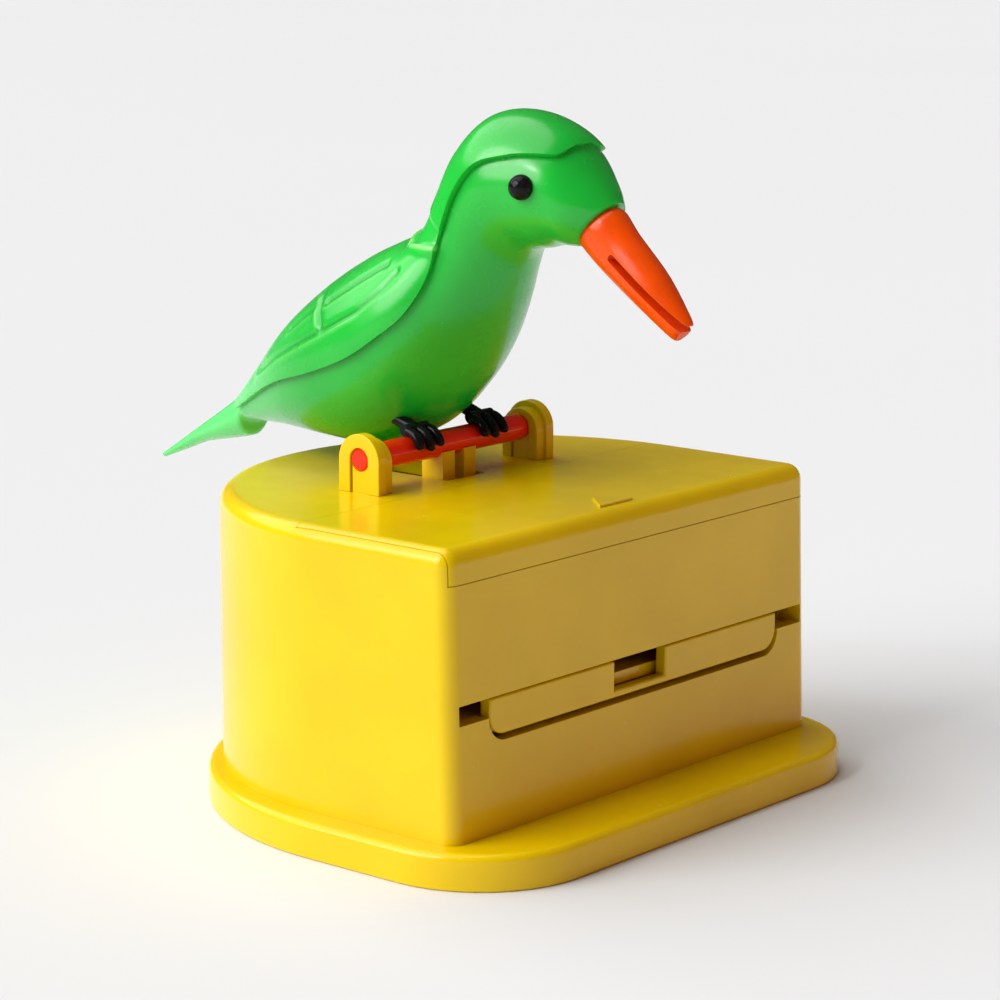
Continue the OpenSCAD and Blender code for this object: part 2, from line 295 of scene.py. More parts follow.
def make_finishes():
    """Every finish by name."""
    _, _, look = settings()
    made = {}
    yellow = moulded("yellow_plastic", tuple(look.yellow), shaded(look.yellow, 0.93))
    yellow.fix(Subsurface_Weight=0.12, Subsurface_Scale=0.004, Subsurface_Radius=(1.0, 0.6, 0.05))
    made["yellow"] = yellow
    tint, deep = tuple(look.green), shaded(look.green, 0.8)
    green = moulded("green_plastic", tint, deep, rough=0.24, scale=40.0, coat=0.3, gloss=0.4)
    # Painted light on the wing lines: a paler green is painted as highlight on the ridges beside
    # the pressed lines and along the wing's shoulder edge, and a darker green is painted as shade
    # in the grooves.
    painted_relief_light = green.add("ShaderNodeAttribute", {"attribute_name": "painted_relief_light"}, out="Fac")
    pale = green.mix(green.spread(painted_relief_light, 0.0, 1.0), green.tint(), (0.20, 0.74, 0.16))
    # Painted shade colour in the grooves.
    painted_groove_shade = green.mix(green.spread(painted_relief_light, 0.0, -1.0), pale, (0.005, 0.36, 0.02))
    # Painted light: the rear of the bird is mixed towards a paler green, standing in for the top
    # light falling on the back and rump.
    painted_rump_light = green.spread(green.axis("Y"), 0.018, 0.042)
    green.fix(Base_Color=green.mix(painted_rump_light * 0.75, painted_groove_shade, (0.17, 0.78, 0.24)))
    green.fix(Subsurface_Weight=0.3, Subsurface_Scale=0.005, Subsurface_Radius=(0.25, 1, 0.2))
    made["green"] = green
    tint, deep = tuple(look.beak), shaded(look.beak, 0.85)
    beak = moulded("beak_plastic", tint, deep, rough=0.22, scale=120.0)
    beak.fix(Subsurface_Weight=0.35, Subsurface_Scale=0.003, Subsurface_Radius=(1.0, 0.25, 0.02))
    # Painted shade: a deeper red band at the beak's base, where it meets the face.
    along = beak.axis("Y") * -0.78 + beak.axis("Z") * -0.63
    ring = beak.spread(along, -0.0342, -0.0326)
    beak.fix(Base_Color=beak.mix(ring, (0.55, 0.008, 0.0), beak.tint()))
    made["beak"] = beak
    tint, deep = tuple(look.rod), shaded(look.rod, 0.8)
    made["rod"] = moulded("rod_plastic", tint, deep, rough=0.18, scale=120.0)
    made["red"] = moulded("red_plastic", tuple(look.red), shaded(look.red, 0.8), rough=0.3)
    tint, deep = tuple(look.black), shaded(look.black, 1.6)
    made["black"] = moulded(
        "black_plastic", tint, deep, rough=0.06, scale=300.0, coat=0.0, gloss=0.14
    )
    steel = Finish("bright_steel")
    steel.fix(
        Base_Color=steel.mix(steel.noise(400.0), tuple(look.steel), shaded(look.steel, 0.8)),
        Metallic=1.0,
        Roughness=steel.spread(steel.noise(1500.0, 3.0), 0.3, 0.7, 0.22, 0.4),
    )
    made["steel"] = steel
    return made


FINISHES = {}


def finish_of(name):
    """The named finish's material, made when it is first asked for."""
    if not FINISHES:
        FINISHES.update(make_finishes())
    return FINISHES[name].material


# ------------------------------------------------------------ mesh helpers


def settle(bm, name, finish, smooth=35.0, doubles=0.00001):
    """Turns a bmesh into an object with outward faces, sharp edges by angle and a finish."""
    bmesh.ops.remove_doubles(bm, verts=bm.verts, dist=doubles)
    bmesh.ops.recalc_face_normals(bm, faces=bm.faces)
    mesh = bpy.data.meshes.new(name)
    bm.to_mesh(mesh)
    bm.free()
    piece = bpy.data.objects.new(name, mesh)
    bpy.context.scene.collection.objects.link(piece)
    mesh.materials.append(finish_of(finish))
    shade(piece, smooth)
    return piece


def shade(piece, angle):
    """Smooth faces with sharp edges where they turn by more than the angle."""
    for face in piece.data.polygons:
        face.use_smooth = True
    piece.data.set_sharp_from_angle(angle=radians(angle))


def soften(piece, width, segments=2, angle=40.0):
    """Small rounded edges and face-weighted shading."""
    edge = piece.modifiers.new("soft_edges", "BEVEL")
    edge.width = width
    edge.segments = segments
    edge.limit_method = "ANGLE"
    edge.angle_limit = radians(angle)
    edge.harden_normals = False
    weigh = piece.modifiers.new("face_weights", "WEIGHTED_NORMAL")
    weigh.keep_sharp = True
    return piece


def adopt(piece, body, slot, *nodes):
    """Says what the piece rides on and the nodes that it stands for; the material slot argument is
    not used.
    """
    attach(piece, body)
    if nodes:
        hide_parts(*nodes)
    return piece


def carve(piece, cutters, operation="DIFFERENCE", crossing=False):
    """Cuts or joins each solid, then drops it; crossing allows for a skin that meets itself."""
    for solid in cutters:
        step = piece.modifiers.new("carve", "BOOLEAN")
        step.operation = operation
        step.solver = "EXACT"
        step.use_self = crossing
        step.object = solid
    graph = bpy.context.evaluated_depsgraph_get()
    mesh = bpy.data.meshes.new_from_object(piece.evaluated_get(graph))
    piece.modifiers.clear()
    old = piece.data
    mesh.name = old.name
    piece.data = mesh
    bpy.data.meshes.remove(old)
    for solid in cutters:
        spent = solid.data
        bpy.data.objects.remove(solid)
        bpy.data.meshes.remove(spent)
    return piece


def rounded(bm, geom, offset, segments, affect="VERTICES"):
    """Rounds corners or edges with arcs."""
    bmesh.ops.bevel(
        bm, geom=geom, affect=affect, offset=offset, segments=segments, profile=0.5, material=-1
    )


def d_face(bm, half, front, centre, corner, z):
    """Flat D-shaped face: a rectangle with its rear corners rounded to the half width."""
    back = centre + half
    spots = ((-half, front), (half, front), (half, back), (-half, back))
    verts = [bm.verts.new((x, y, z)) for x, y in spots]
    bm.faces.new(verts)
    rounded(bm, verts[:2], corner, 10)
    rounded(bm, verts[2:], half * 0.99999, 32)
    bmesh.ops.remove_doubles(bm, verts=bm.verts, dist=0.00002)
    return list(bm.faces)


def raise_face(bm, faces, vector):
    """Extrudes the faces along a vector and returns the far side's vertices."""
    made = bmesh.ops.extrude_face_region(bm, geom=faces)["geom"]
    verts = [v for v in made if isinstance(v, bmesh.types.BMVert)]
    bmesh.ops.translate(bm, verts=verts, vec=vector)
    return verts


def rim_edges(bm, z):
    """The edges that lie at one height."""
    return [e for e in bm.edges if all(abs(v.co.z - z) < 0.00001 for v in e.verts)]


def d_solid(half, front, centre, corner, low, high, rim=0.0, foot=0.0, lean=0.0):
    """D-shaped block with rounded rims, and a front that leans back by so much in all."""
    bm = bmesh.new()
    raise_face(bm, d_face(bm, half, front, centre, corner, low), Z_AXIS * (high - low))
    if lean:
        for v in bm.verts:
            if v.co.y < front + 0.01:
                v.co.y += lean * (v.co.z - low) / (high - low)
    if rim:
        rounded(bm, rim_edges(bm, high), rim, 6, "EDGES")
    if foot:
        rounded(bm, rim_edges(bm, low), foot, 2, "EDGES")
    return bm


def plain(bm, name="cutter"):
    """An object for carving, without a finish."""
    bmesh.ops.recalc_face_normals(bm, faces=bm.faces)
    mesh = bpy.data.meshes.new(name)
    bm.to_mesh(mesh)
    bm.free()
    solid = bpy.data.objects.new(name, mesh)
    bpy.context.scene.collection.objects.link(solid)
    return solid


def block_in(bm, low, high):
    """Adds a box between two corners given in mm."""
    low, high = Vector(low) * MM, Vector(high) * MM
    size = high - low
    bmesh.ops.create_cube(
        bm, size=1, matrix=Matrix.Translation((low + high) / 2) @ Matrix.Diagonal((*size, 1))
    )


def block(low, high):
    bm = bmesh.new()
    block_in(bm, low, high)
    return plain(bm)


def drum_in(bm, start, end, radius, segments=48):
    """Adds a capped cylinder between two points in metres."""
    start, end = Vector(start), Vector(end)
    along = end - start
    turn = along.to_track_quat("Z", "Y").to_matrix().to_4x4()
    bmesh.ops.create_cone(
        bm,
        cap_ends=True,
        segments=segments,
        radius1=radius,
        radius2=radius,
        depth=along.length,
        matrix=Matrix.Translation((start + end) / 2) @ turn,
    )


def drum(start, end, radius, segments=48):
    bm = bmesh.new()
    drum_in(bm, start, end, radius, segments)
    return plain(bm)


def window_in(bm, half, low, high, corner, near, far):
    """Upright slab with rounded lower corners, between two distances back."""
    spots = ((-half, low), (half, low), (half, high), (-half, high))
    verts = [bm.verts.new((x, near, z)) for x, z in spots]
    bm.faces.new(verts)
    rounded(bm, verts[:2], corner, 8)
    flat = [f for f in bm.faces if all(abs(v.co.y - near) < 1e-7 for v in f.verts)]
    raise_face(bm, flat, Y_AXIS * (far - near))


def arch_in(bm, near, far, middle, half, low, high):
    """Slab across X with a round top, between two distances to the side."""
    left, right = middle - half, middle + half
    spots = ((left, low), (right, low), (right, high), (left, high))
    verts = [bm.verts.new((near, y, z)) for y, z in spots]
    bm.faces.new(verts)
    rounded(bm, verts[2:], half * 0.9999, 12)
    flat = [f for f in bm.faces if all(abs(v.co.x - near) < 1e-7 for v in f.verts)]
    raise_face(bm, flat, X_AXIS * (far - near))
    bmesh.ops.remove_doubles(bm, verts=bm.verts, dist=0.00001)


def turned(bm, profile, origin, axis, steps=48):
    """Spins (distance along, radius) points round an axis into a closed round shape."""
    side = axis.orthogonal().normalized()
    verts = [bm.verts.new(origin + axis * along + side * radius) for along, radius in profile]
    edges = [bm.edges.new(pair) for pair in zip(verts, verts[1:])]
    bmesh.ops.spin(
        bm, geom=verts + edges, cent=origin, axis=axis, angle=2 * pi, steps=steps, use_merge=True
    )
    bmesh.ops.remove_doubles(bm, verts=bm.verts, dist=0.000001)


# ------------------------------------------------------------- bird lofts


def smooth_rows(rows, at):
    """Catmull-Rom value at a place along rows of numbers."""
    last = len(rows) - 1
    i = min(int(at), last - 1)
    t = at - i
    a, b, c, d = (rows[min(max(i + k, 0), last)] for k in (-1, 0, 1, 2))
    out = []
    for p, q, r, s in zip(a, b, c, d):
        square, cube = 2 * p - 5 * q + 4 * r - s, 3 * q - p - 3 * r + s
        out.append(0.5 * (2 * q + (r - p) * t + square * t * t + cube * t**3))
    return out


def flat_rows(sections):
    """Each section's points and numbers in one row."""
    return [[*s[0], *s[1], *s[2:]] for s in sections]


def ring_frame(row, trim=0.0):
    """Matrix that carries the unit circle to a section, trimmed at its top and sides."""
    top, low = Vector((0, row[0], row[1])), Vector((0, row[2], row[3]))
    top = top - (top - low).normalized() * trim
    centre, half = (top + low) / 2 * MM, (top - low) / 2 * MM
    across = X_AXIS * (row[4] - trim) * MM
    normal = across.cross(half).normalized()
    m = Matrix((across, half, normal)).transposed().to_4x4()
    m.translation = centre
    return m


def ring_edges(bm, before):
    """The edges that weren't there before."""
    return [e for e in bm.edges if e not in before]


def loft(bm, frames, segments):
    """Rings at each frame, bridged into one skin that is closed at both ends."""
    loops = []
    for k, m in enumerate(frames):
        before = set(bm.edges)
        end = k in (0, len(frames) - 1)
        bmesh.ops.create_circle(bm, segments=segments, radius=1, cap_ends=end, matrix=m)
        loops.append(ring_edges(bm, before))
    for first, second in zip(loops, loops[1:]):
        bmesh.ops.bridge_loops(bm, edges=first + second)


def arc_loft(bm, frames, angles, steps):
    """Open arcs over the top of each frame, bridged into one skin."""
    loops = []
    for m, low in zip(frames, angles):
        before = set(bm.edges)
        old = set(bm.verts)
        start = bm.verts.new((cos(low), sin(low), 0))
        sweep = pi - 2 * low
        bmesh.ops.spin(bm, geom=[start], cent=(0, 0, 0), axis=Z_AXIS, angle=sweep, steps=steps)
        bmesh.ops.transform(bm, matrix=m, verts=[v for v in bm.verts if v not in old])
        loops.append(ring_edges(bm, before))
    for first, second in zip(loops, loops[1:]):
        bmesh.ops.bridge_loops(bm, edges=first + second)


def to_line(point, line):
    """Distance from a (y, z) point to a chain of points, in mm."""
    best = 1e9
    for a, b in zip(line, line[1:]):
        a, b = Vector(a), Vector(b)
        along = b - a
        t = min(max((point - a).dot(along) / along.length_squared, 0), 1)
        best = min(best, (point - a - along * t).length)
    return best


def eased(value, low, high):
    """0 below the low value, 1 above the high one, and a smooth step between them."""
    t = min(max((value - low) / (high - low), 0), 1)
    return t * t * (3 - 2 * t)


def side_of(point, a, b):
    """Signed distance from a line through two (y, z) points, in mm."""
    a, b = Vector(a), Vector(b)
    along = (b - a).normalized()
    return (point - a).dot(Vector((-along.y, along.x)))


# -------------------------------------------------------------- operators


class BuildOperator:
    """Shared options of every building step."""

    bl_options = {"REGISTER", "UNDO"}


class DISPENSER_OT_base(BuildOperator, bpy.types.Operator):
    """Builds the base plate with its rounded edge and the recess under the case"""

    bl_idname = "dispenser.base"
    bl_label = "Base plate"

    def execute(self, context):
        box, _, _ = settings()
        front, centre, corner = -34.5 * MM, -5 * MM, 15 * MM
        bm = d_solid(
            box.base_half, front, centre, corner, 0, box.base_height, rim=0.9 * MM, foot=0.3 * MM
        )
        piece = settle(bm, "base_moulding", "yellow")
        gap = box.wall + 0.2 * MM
        recess = d_solid(
            box.case_half - gap,
            CASE_FRONT * MM + gap,
            CASE_CENTRE * MM,
            0.5 * MM,
            2 * MM,
            box.base_height + MM,
        )
        cutters = [plain(recess)]
        for side in (-1, 1):
            for x, y in SCREWS:
                at = Vector((side * x, y, 0)) * MM
                cutters.append(drum(at - Z_AXIS * MM, at + Z_AXIS * 1.1 * MM, 2.5 * MM, 32))
                cutters.append(drum(at - Z_AXIS * MM, at + Z_AXIS * 3 * MM, 1.3 * MM, 32))
        carve(piece, cutters)
        shade(piece, 35)
        adopt(soften(piece, 0.12 * MM), "case", "yellow_plastic", "base_plate")
        return {"FINISHED"}


def case_block():
    """The case's outside as one block with its rounded top edge."""
    box, _, _ = settings()
    return d_solid(
        box.case_half,
        CASE_FRONT * MM,
        CASE_CENTRE * MM,
        2.05 * MM,
        box.base_height,
        box.case_top,
        rim=box.top_round,
        lean=FRONT_LEAN * MM,
    )


def case_hollow(low, high):
    """The room inside the case's walls, between two heights."""
    box, _, _ = settings()
    return plain(
        d_solid(
            box.case_half - box.wall,
            CASE_FRONT * MM + box.wall,
            CASE_CENTRE * MM,
            0.6 * MM,
            low,
            high,
            lean=FRONT_LEAN * MM * (high - low) / (35 * MM),
        )
    )


class DISPENSER_OT_case(BuildOperator, bpy.types.Operator):
    """Builds the case: thin walls, the lid's opening, the slot, the gate's window and the bosses"""

    bl_idname = "dispenser.case"
    bl_label = "Case"

    def execute(self, context):
        box, _, _ = settings()
        piece = settle(case_block(), "case_moulding", "yellow")
        window = bmesh.new()
        window_in(window, 29 * MM, 15.5 * MM, SLOT_TOP * MM, 3 * MM, -30 * MM, -22 * MM)
        cutters = [
            case_hollow(box.base_height - 2 * MM, box.case_top - box.wall),
            block((LID_LEFT - RUN_GAP, -AWAY, 37.3), (AWAY, 0.4, AWAY)),
            block((LID_LEFT - RUN_GAP, -AWAY, 35.2), (AWAY, -20.5, AWAY)),
            block((-3.7, 3.6, 36), (3.7, 21.2, 45)),
            block((-SLOT_HALF, -30, SLOT_LOW), (-28, -21, SLOT_TOP)),
            block((28, -30, SLOT_LOW), (SLOT_HALF, -21, SLOT_TOP)),
            plain(window),
        ]
        carve(piece, cutters)
        inner = bmesh.new()
        inner.from_mesh(piece.data)
        block_in(inner, (-33.9, -23.2, 33.8), (33.9, -21.4, 35))
        block_in(inner, (-5, 31.2, 19), (5, 32.6, 29))
        boss = ((2, 1.1), (2, 3), (BOSS_TOP, 3), (BOSS_TOP, 0), (10, 0), (10, 1.1), (2, 1.1))
        webs = ((34.8, -18.5, -15.5), (30.6, 12.8, 15.2))
        for side in (-1, 1):
            for (x, y), (wall, near, far) in zip(SCREWS, webs):
                at = Vector((side * x, y, 0)) * MM
                turned(inner, [(a * MM, b * MM) for a, b in boss], at, Z_AXIS, 32)
                ends = sorted((side * (x + 2.6), side * wall))
                block_in(inner, (ends[0], near, 5), (ends[1], far, BOSS_TOP))
        bmesh.ops.recalc_face_normals(inner, faces=inner.faces)
        inner.to_mesh(piece.data)
        inner.free()
        shade(piece, 35)
        adopt(soften(piece, 0.09 * MM), "case", "yellow_plastic", "case_shell")
        return {"FINISHED"}


class DISPENSER_OT_lid(BuildOperator, bpy.types.Operator):
    """Builds the sliding lid with its front lip, raised arrow mark and hooks"""

    bl_idname = "dispenser.lid"
    bl_label = "Lid"

    def execute(self, context):
        piece = settle(case_block(), "lid_moulding", "yellow")
        cutters = [
            block((-AWAY, LID_REAR, 0), (AWAY, AWAY, AWAY)),
            block((-AWAY, -AWAY, 0), (LID_LEFT, AWAY, AWAY)),
            block((-AWAY, -AWAY, 0), (AWAY, AWAY, 35.3)),
            block((-AWAY, -20.8, 30), (AWAY, 5, LID_UNDER)),
            case_hollow(30 * MM, LID_UNDER * MM),
        ]
        carve(piece, cutters)
        more = bmesh.new()
        more.from_mesh(piece.data)
        mark = bmesh.new()
        corners = ((-4.6, -21.6), (1.8, -21.6), (-1.0, -17.6))
        verts = [mark.verts.new(Vector((x, y, 39.3)) * MM) for x, y in corners]
        raise_face(mark, [mark.faces.new(verts)], Z_AXIS * 0.5 * MM)
        bmesh.ops.recalc_face_normals(mark, faces=mark.faces)
        lump = bpy.data.meshes.new("mark")
        mark.to_mesh(lump)
        mark.free()
        more.from_mesh(lump)
        bpy.data.meshes.remove(lump)
        for low, high in (
            ((-33, -20.9, 32.4), (-28, -19.7, 38)),
            ((-33, -22.2, 32.4), (-28, -20.9, 33.5)),
            ((-33, -2.4, 36.2), (-28, -1, 38)),
            ((-33, -1.0, 36.2), (-28, 1.1, 37.4)),
        ):
            block_in(more, low, high)
        bmesh.ops.recalc_face_normals(more, faces=more.faces)
        more.to_mesh(piece.data)
        more.free()
        shade(piece, 35)
        adopt(soften(piece, 0.09 * MM), "lid", "yellow_plastic", "slide_lid")
        return {"FINISHED"}


class DISPENSER_OT_gate(BuildOperator, bpy.types.Operator):
    """Builds the gate flap with its rounded lower corners and the notch for the beak"""

    bl_idname = "dispenser.gate"
    bl_label = "Gate"

    def execute(self, context):
        bm = bmesh.new()
        window_in(bm, 28.7 * MM, 16.2 * MM, 20.8 * MM, 2.7 * MM, -24.5 * MM, -22.9 * MM)
        piece = settle(bm, "gate_moulding", "yellow")
        carve(piece, [block((-5.1, -30, 17.1), (5.1, -20, 26))])
        shade(piece, 35)
        adopt(soften(piece, 0.2 * MM), "gate", "yellow_plastic", "gate_flap")
        return {"FINISHED"}


class DISPENSER_OT_perch(BuildOperator, bpy.types.Operator):
    """Builds the two arched brackets and the rod with its journals"""

    bl_idname = "dispenser.perch"
    bl_label = "Perch"

    def execute(self, context):
        for side, word in ((-1, "left"), (1, "right")):
            outer, inner, opening = bmesh.new(), bmesh.new(), bmesh.new()
            for bm, near, far, half, low, high in (
                (outer, 15.6, 17.1, 3.35, 39.5, 46.95),
                (inner, 14.1, 15.7, 2.95, 39.5, 46.15),
                (opening, 10, 20, 1.5, 38, 45.2),
            ):
                near, far = side * near * MM, side * far * MM
                arch_in(bm, near, far, ROD.y, half * MM, low * MM, high * MM)
            piece = settle(outer, "bracket_" + word, "yellow")
            carve(piece, [plain(inner)], "UNION")
            carve(piece, [plain(opening)])
            shade(piece, 35)
            soften(piece, 0.3 * MM, 3)
            adopt(piece, "case", "yellow_plastic", "perch_bracket_" + word)
        bm = bmesh.new()
        half = [(0, ROD_RADIUS), (13.6, ROD_RADIUS), (13.9, JOURNAL_RADIUS)]
        half += [(16.7, JOURNAL_RADIUS), (17, 1.2), (17, 0)]
        profile = [(-a, r) for a, r in reversed(half)] + half[1:]
        turned(bm, [(a * MM, r * MM) for a, r in profile], ROD, X_AXIS)
        adopt(settle(bm, "rod_moulding", "rod"), "bird", "orange_plastic", "perch_rod")
        return {"FINISHED"}


class DISPENSER_OT_crank(BuildOperator, bpy.types.Operator):
    """Builds the crank's two cheeks and the cross pin"""

    bl_idname = "dispenser.crank"
    bl_label = "Crank"

    def execute(self, context):
        foot = ROD.z - CRANK_ARM * MM
        tip = 1.8 * MM
        bm = bmesh.new()
        drum_in(bm, (-2 * MM, ROD.y, foot), (2 * MM, ROD.y, foot), 1.1 * MM)
        piece = settle(bm, "crank_moulding", "yellow")
        for x in (-3.2, 0.9):
            cheek = bmesh.new()
            near, far = x * MM, (x + 2.3) * MM
            arch_in(cheek, near, far, ROD.y, tip, -ROD.z + 0.8 * MM, -foot + tip)
            bmesh.ops.transform(cheek, matrix=Matrix.Diagonal((1, 1, -1, 1)), verts=cheek.verts)
            carve(piece, [plain(cheek)], "UNION")
        carve(piece, [drum(ROD - X_AXIS * 9 * MM, ROD + X_AXIS * 9 * MM, ROD_RADIUS * MM)])
        shade(piece, 35)
        adopt(soften(piece, 0.2 * MM), "bird", "yellow_plastic", "crank_fork")
        return {"FINISHED"}


class DISPENSER_OT_body(BuildOperator, bpy.types.Operator):
    """Builds the bird's body: breast, belly, neck and face in one skin"""

    bl_idname = "dispenser.body"
    bl_label = "Bird's body"

    def execute(self, context):
        rows = flat_rows(SECTIONS)
        places = [k * (len(rows) - 1) / 84 for k in range(85)]
        frames = []
        for at in places:
            row = smooth_rows(rows, at)
            under = 1 - eased(at, CAPE_END - 0.8, CAPE_END + 1.6)
            frames.append(ring_frame(row, CAPE_STEP * under))
        bm = bmesh.new()
        loft(bm, frames, 72)
        piece = settle(bm, "bird_body", "green", 60)
        adopt(piece, "bird", "green_plastic", "bird_body_shell")
        return {"FINISHED"}


class DISPENSER_OT_cape(BuildOperator, bpy.types.Operator):
    """Builds the hood, neck strip, back and wings in one proud shell with pressed wing lines"""

    bl_idname = "dispenser.cape"
    bl_label = "Bird's cape"

    def execute(self, context):
        _, bird, _ = settings()
        rows = flat_rows(SECTIONS)
        count = 184
        frames, angles = [], []
        for k in range(count + 1):
            row = smooth_rows(rows, CAPE_TIP * k / count)
            frames.append(ring_frame(row))
            angles.append(radians(row[5]))
        for k in range(1, 9):
            tip = 0.996 * sin(k / 8 * pi / 2)
            frames.append(ring_frame(smooth_rows(rows, CAPE_TIP + (CAPE_END - CAPE_TIP) * tip)))
            angles.append(acos(cos(angles[count] + radians(7) * tip) * (1 - tip**4) ** 0.25))
        bm = bmesh.new()
        arc_loft(bm, frames, angles, 110)
        bmesh.ops.remove_doubles(bm, verts=bm.verts, dist=0.000001)
        bmesh.ops.recalc_face_normals(bm, faces=bm.faces)
        inside = Vector((0, 10, 55)) * MM
        if sum((f.calc_center_median() - inside).dot(f.normal) for f in bm.faces) < 0:
            bmesh.ops.reverse_faces(bm, faces=bm.faces)
        bm.normal_update()
        depth, width = bird.groove_depth / MM, bird.groove_width / MM
        # Per-vertex painted light for the green: below zero paints shade in the grooves, above zero
        # paints highlight on the ridges below them and along the wing's shoulder edge.
        painted_relief_light = bm.verts.layers.float.new("painted_relief_light")
        moves = []
        for v in bm.verts:
            spot = Vector((v.co.y, v.co.z)) / MM
            lift = 0.0
            for line in WING_GROOVES:
                off = to_line(spot, line)
                if off < 4 * width:
                    sunk = 1 - eased(off, 0, width)
                    below = [(y + 0.4, z - 0.9) for y, z in line]
                    proud = 1 - eased(to_line(spot, below), 0, width)
                    lift += depth * (0.35 * proud - sunk)
                    # Painted shade in each groove and painted highlight on the ridge below it.
                    v[painted_relief_light] += 0.45 * proud - 0.8 * sunk
            above = min(side_of(spot, a, b) for a, b in zip(COLLAR, COLLAR[1:]))
            neck = eased(above, -0.1, 0.3)
            hood = eased(side_of(spot, (0.3, 72), (5.2, 75.2)), -0.1, 0.3)
            lift += 0.3 * eased(above, -1.4, -0.1) * (1 - neck)
            # Painted highlight along the wing's shoulder edge under the collar.
            v[painted_relief_light] += 0.9 * eased(above, -0.7, -0.3) * (1 - neck)
            lift -= 0.2 * neck * (1 - hood)
            moves.append((v, v.normal * lift * MM))
        for v, move in moves:
            v.co += move
        bmesh.ops.solidify(bm, geom=bm.faces, thickness=bird.cape_wall)
        piece = settle(bm, "bird_cape", "green", 50, 0.000001)
        adopt(soften(piece, 0.22 * MM, 2, 60), "bird", "green_plastic", "bird_back_shell")
        return {"FINISHED"}


class DISPENSER_OT_tail(BuildOperator, bpy.types.Operator):
    """Builds the tail: a tapering blade with a blunt root"""

    bl_idname = "dispenser.tail"
    bl_label = "Tail"

    def execute(self, context):
        rows = (
            (38.5, 46.6, 38.6, 43.8, 3.2),
            (40.5, 46.6, 40.9, 42.4, 3.2),
            (42.6, 46.0, 41.2, 40.7, 3.1),
            (44.0, 45.2, 42.3, 40.2, 3.0),
            (47.2, 43.1, 46.0, 39.4, 2.6),
            (51.2, 40.6, 50.2, 38.5, 1.9),
            (55.2, 38.1, 54.4, 36.9, 1.2),
            (58.8, 35.9, 58.4, 35.4, 0.5),
        )
        frames = [ring_frame(smooth_rows(rows, k * 7 / 42)) for k in range(43)]
        bm = bmesh.new()
        loft(bm, frames, 40)
        adopt(settle(bm, "bird_tail_blade", "green", 60), "bird", "green_plastic", "bird_tail")
        return {"FINISHED"}


class DISPENSER_OT_beak(BuildOperator, bpy.types.Operator):
    """Builds the beak with its slit between the two jaws"""

    bl_idname = "dispenser.beak"
    bl_label = "Beak"

    def execute(self, context):
        rows = flat_rows(BEAK_RINGS)
        frames = [ring_frame(smooth_rows(rows, k * 5 / 25)) for k in range(26)]
        bm = bmesh.new()
        loft(bm, frames, 48)
        piece = settle(bm, "beak_moulding", "beak", 60)
        slit = bmesh.new()
        block_in(slit, (-6, -4, -0.5), (6, 12.4, 0.5))
        drum_in(slit, Vector((-6, 12.4, 0)) * MM, Vector((6, 12.4, 0)) * MM, 0.5 * MM, 24)
        place = Matrix.Translation(Vector((0, -31.1, 61.9)) * MM)
        place = place @ Matrix.Rotation(radians(39), 4, "X")
        bmesh.ops.transform(slit, matrix=place, verts=slit.verts)
        carve(piece, [plain(slit)], crossing=True)
        shade(piece, 45)
        adopt(soften(piece, 0.2 * MM, 3, 50), "bird", "beak_plastic", "beak")
        return {"FINISHED"}


class DISPENSER_OT_eyes(BuildOperator, bpy.types.Operator):
    """Builds the two bead eyes"""

    bl_idname = "dispenser.eyes"
    bl_label = "Eyes"

    def execute(self, context):
        _, bird, _ = settings()
        r = bird.eye_radius
        for side, word in ((-1, "left"), (1, "right")):
            bm = bmesh.new()
            steps = [k * pi / 20 for k in range(21)]
            profile = [(-r * cos(a) * (0.8 if a < pi / 2 else 1.0), r * sin(a)) for a in steps]
            at = Vector((side * 7.3, -11.2, 78)) * MM
            turned(bm, profile, at, X_AXIS * side, 40)
            piece = settle(bm, "eye_bead_" + word, "black", 60)
            adopt(piece, "bird", "black_plastic", "eye_" + word)
        return {"FINISHED"}


